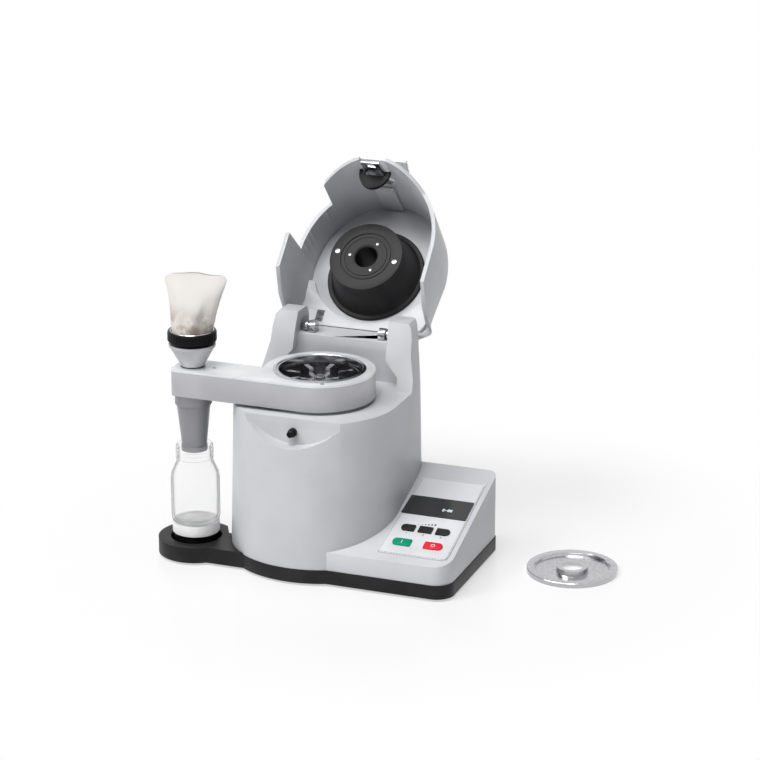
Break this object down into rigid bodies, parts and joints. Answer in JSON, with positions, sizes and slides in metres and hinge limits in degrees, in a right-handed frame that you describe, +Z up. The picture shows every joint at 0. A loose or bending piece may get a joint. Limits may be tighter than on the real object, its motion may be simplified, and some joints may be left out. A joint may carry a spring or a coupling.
{
  "type": "cyclone mill",
  "caption": "Bench-top cyclone sample mill: hinged hood over a bladed rotor, side cyclone with glass jar and filter sock, and a sloping key panel.",
  "frame": {"origin": "centre of the footprint's box, on the bench", "axes": "+Z up, -Y towards the user, +X to the user's right, where the key panel is"},
  "size_m": [0.641, 0.4332, 0.5339],
  "materials": {
    "black_plastic": "matt black",
    "aluminium": "satin",
    "steel": "polished",
    "paint": "fine light grey texture",
    "board": "coated",
    "cloth": "fine woven",
    "rubber": "matt",
    "white_plastic": "satin white",
    "copper": "enamelled wire",
    "glass": "clear",
    "green_plastic": "matt",
    "red_plastic": "matt"
  },
  "bodies": {
    "mill": {"base_arm": "black_plastic", "base_tray": "black_plastic", "catch_pin": "black_plastic", "chamber_floor": "steel", "console_housing": "paint", "control_board": "board", "display_window": "black_plastic", "foot_arm": "rubber", "foot_back_left": "rubber", "foot_back_right": "rubber", "foot_front_right": "rubber", "hinge_lug_left": "steel", "hinge_lug_right": "steel", "main_housing": "paint", "mains_inlet": "black_plastic", "motor_bottom_shield": "aluminium", "motor_stator": "copper", "motor_top_shield": "aluminium", "panel_label": "paint", "rear_panel": "paint", "shaft_bearing_bottom": "steel", "shaft_bearing_top": "steel"},
    "lid": {"lid_shell": "paint", "lid_plate": "paint", "feed_boss": "black_plastic", "latch_rib": "paint", "latch_pocket": "black_plastic", "latch_axle": "steel", "hinge_arm_left": "steel", "hinge_arm_right": "steel"},
    "latch": {"latch_hook": "steel", "latch_handle": "white_plastic"},
    "rotor_unit": {"rotor": "steel", "rotor_nut": "steel", "motor_armature": "steel", "motor_fan": "black_plastic"},
    "cassette": {"cassette_body": "aluminium", "cassette_cover": "aluminium", "chamber_ring": "steel", "ring_sieve": "steel", "cyclone_collar": "aluminium", "cyclone_cone": "steel", "vortex_tube": "steel", "funnel_seal": "rubber", "outlet_funnel": "aluminium"},
    "sock": {"sock_collar": "steel", "sock_clamp_ring": "black_plastic", "filter_sock": "cloth"},
    "jar_lift": {"jar_rest": "white_plastic", "sample_jar": "glass", "jar_rest_spring": "steel"},
    "speed_key_low_body": {"speed_key_low": "black_plastic"},
    "speed_key_middle_body": {"speed_key_middle": "black_plastic"},
    "speed_key_high_body": {"speed_key_high": "black_plastic"},
    "start_key_body": {"start_key": "green_plastic"},
    "stop_key_body": {"stop_key": "red_plastic"},
    "switch_rocker": {"mains_switch": "black_plastic"},
    "loose_disc": {"cover_disc": "steel"}
  },
  "joints": [
    {"name": "lid_hinge", "type": "hinge", "parent": "mill", "child": "lid", "pos_m": [-0.09554, 0.01254, 0.3025], "axis": [-1, 0, 0], "range_deg": [-134, 0]},
    {"name": "latch_turn", "type": "hinge", "parent": "lid", "child": "latch", "pos_m": [-0.09754, 0.15492, 0.48808], "axis": [1, 0, 0], "range_deg": [-12, 0], "stiffness_Nm_per_rad": 0.3, "springref_deg": 8.59},
    {"name": "rotor_spin", "type": "hinge", "parent": "mill", "child": "rotor_unit", "pos_m": [-0.09554, -0.09996, 0.2432], "axis": [0, 0, 1], "continuous": true},
    {"name": "cassette_lift", "type": "slide", "parent": "mill", "child": "cassette", "axis": [0, 0, 1], "range_m": [0, 0.06]},
    {"name": "sock_lift", "type": "slide", "parent": "cassette", "child": "sock", "axis": [0, 0, 1], "range_m": [0, 0.04]},
    {"name": "jar_rest_press", "type": "slide", "parent": "mill", "child": "jar_lift", "axis": [0, 0, -1], "range_m": [0, 0.01], "stiffness_N_per_m": 600, "springref_m": -0.012, "deforming": ["jar_rest_spring"]},
    {"name": "speed_key_low_press", "type": "slide", "parent": "mill", "child": "speed_key_low_body", "axis": [0, 0.3069, -0.9518], "range_m": [0, 0.0006], "stiffness_N_per_m": 1500, "springref_m": -0.0006},
    {"name": "speed_key_middle_press", "type": "slide", "parent": "mill", "child": "speed_key_middle_body", "axis": [0, 0.3069, -0.9518], "range_m": [0, 0.0006], "stiffness_N_per_m": 1500, "springref_m": -0.0006},
    {"name": "speed_key_high_press", "type": "slide", "parent": "mill", "child": "speed_key_high_body", "axis": [0, 0.3069, -0.9518], "range_m": [0, 0.0006], "stiffness_N_per_m": 1500, "springref_m": -0.0006},
    {"name": "start_press", "type": "slide", "parent": "mill", "child": "start_key_body", "axis": [0, 0.3069, -0.9518], "range_m": [0, 0.0006], "stiffness_N_per_m": 1500, "springref_m": -0.0006},
    {"name": "stop_press", "type": "slide", "parent": "mill", "child": "stop_key_body", "axis": [0, 0.3069, -0.9518], "range_m": [0, 0.0006], "stiffness_N_per_m": 1500, "springref_m": -0.0006},
    {"name": "switch_rock", "type": "hinge", "parent": "mill", "child": "switch_rocker", "pos_m": [-0.08454, 0.06934, 0.085], "axis": [0, 0, -1], "range_deg": [0, 16]},
    {"name": "cover_disc_lift", "type": "slide", "parent": "mill", "child": "loose_disc", "axis": [0, 0, 1], "range_m": [0, 0.05]}
  ]
}
